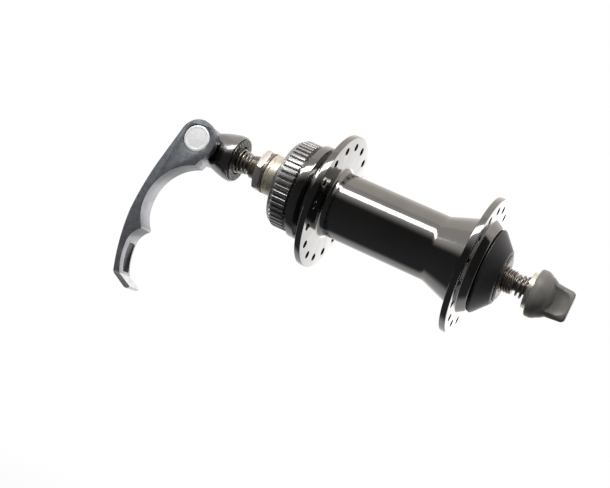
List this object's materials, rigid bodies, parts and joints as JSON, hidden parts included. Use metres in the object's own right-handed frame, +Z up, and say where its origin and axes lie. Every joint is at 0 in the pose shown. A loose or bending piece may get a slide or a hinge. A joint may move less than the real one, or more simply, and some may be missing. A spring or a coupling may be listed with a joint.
{
  "type": "bicycle hub",
  "caption": "Front bicycle hub with spoke flanges, splined brake disc seat, cup and cone bearings and a quick-release skewer.",
  "frame": {"origin": "on the axle, midway between the outer faces of the locknuts", "axes": "+Y along the axle from the lever end to the nut end, +Z up, closed lever hanging down"},
  "size_m": [0.052, 0.1611, 0.0878],
  "materials": {
    "shell_black": "black anodised, polished",
    "bearing_steel": "ground and hardened",
    "plated_steel": "nickel plated",
    "seal_rubber": "moulded",
    "axle_steel": "plated, rolled threads",
    "zinc_spacer": "yellowish zinc plating",
    "boot_rubber": "smooth moulded rubber",
    "acorn_black": "gloss black",
    "toothed_steel": "zinc plated, toothed",
    "cam_chrome": "polished",
    "spring_steel": "drawn wire",
    "lever_finish": "black satin sides, machined inner edge",
    "nut_plastic": "satin moulding"
  },
  "bodies": {
    "axle_set": {"axle": "axle_steel", "left_cone": "bearing_steel", "right_cone": "bearing_steel", "left_seal": "seal_rubber", "right_seal": "seal_rubber", "left_spacer": "zinc_spacer", "left_washer": "plated_steel", "right_washer": "plated_steel", "left_locknut": "plated_steel", "right_locknut": "plated_steel", "right_boot": "boot_rubber"},
    "hub": {"hub_shell": "shell_black", "left_cup": "bearing_steel", "right_cup": "bearing_steel", "left_dust_cap": "plated_steel", "right_dust_cap": "plated_steel"},
    "left_ball_ring": {"left_balls": "bearing_steel"},
    "right_ball_ring": {"right_balls": "bearing_steel"},
    "left_coil": {"left_spring": "spring_steel"},
    "acorn": {"acorn_body": "acorn_black", "grip_ring": "toothed_steel"},
    "lever_arm": {"lever": "lever_finish", "cam_shaft": "cam_chrome", "cam_clip": "spring_steel"},
    "rod": {"skewer_rod": "axle_steel"},
    "right_coil": {"right_spring": "spring_steel"},
    "nut": {"nut_body": "nut_plastic", "nut_insert": "toothed_steel"}
  },
  "joints": [
    {"name": "shell_spin", "type": "hinge", "parent": "axle_set", "child": "hub", "pos_m": [0, 0, 0], "axis": [0, 1, 0], "continuous": true},
    {"name": "left_balls_orbit", "type": "hinge", "parent": "axle_set", "child": "left_ball_ring", "pos_m": [0, -0.0338, 0], "axis": [0, 1, 0], "continuous": true},
    {"name": "right_balls_orbit", "type": "hinge", "parent": "axle_set", "child": "right_ball_ring", "pos_m": [0, 0.0381, 0], "axis": [0, 1, 0], "continuous": true},
    {"name": "skewer_slide", "type": "slide", "parent": "axle_set", "child": "left_coil", "axis": [0, 1, 0], "range_m": [-0.0012, 0.0012], "stiffness_N_per_m": 900, "deforming": ["left_spring", "right_spring"]},
    {"name": "skewer_turn", "type": "hinge", "parent": "left_coil", "child": "acorn", "pos_m": [0, -0.0744, 0], "axis": [0, 1, 0], "continuous": true},
    {"name": "lever_pivot", "type": "hinge", "parent": "acorn", "child": "lever_arm", "pos_m": [0, -0.0744, 0], "axis": [-1, 0, 0], "range_deg": [0, 180]},
    {"name": "rod_pull", "type": "slide", "parent": "acorn", "child": "rod", "axis": [0, 1, 0], "range_m": [0, 0.0016], "deforming": ["right_spring"]},
    {"name": "nut_travel", "type": "slide", "parent": "rod", "child": "right_coil", "axis": [0, 1, 0], "range_m": [-0.0008, 0.004], "deforming": ["right_spring"]},
    {"name": "nut_turn", "type": "hinge", "parent": "right_coil", "child": "nut", "pos_m": [0, 0.0592, 0], "axis": [0, 1, 0], "range_deg": [-360, 1800]}
  ],
  "couplings": [
    {"joint": "left_balls_orbit", "follows": "shell_spin", "ratio": 0.6059},
    {"joint": "right_balls_orbit", "follows": "shell_spin", "ratio": 0.6059},
    {"joint": "lever_pivot", "follows": "rod_pull", "rad_per_m": 1963.5},
    {"joint": "nut_turn", "follows": "nut_travel", "rad_per_m": 7854}
  ]
}
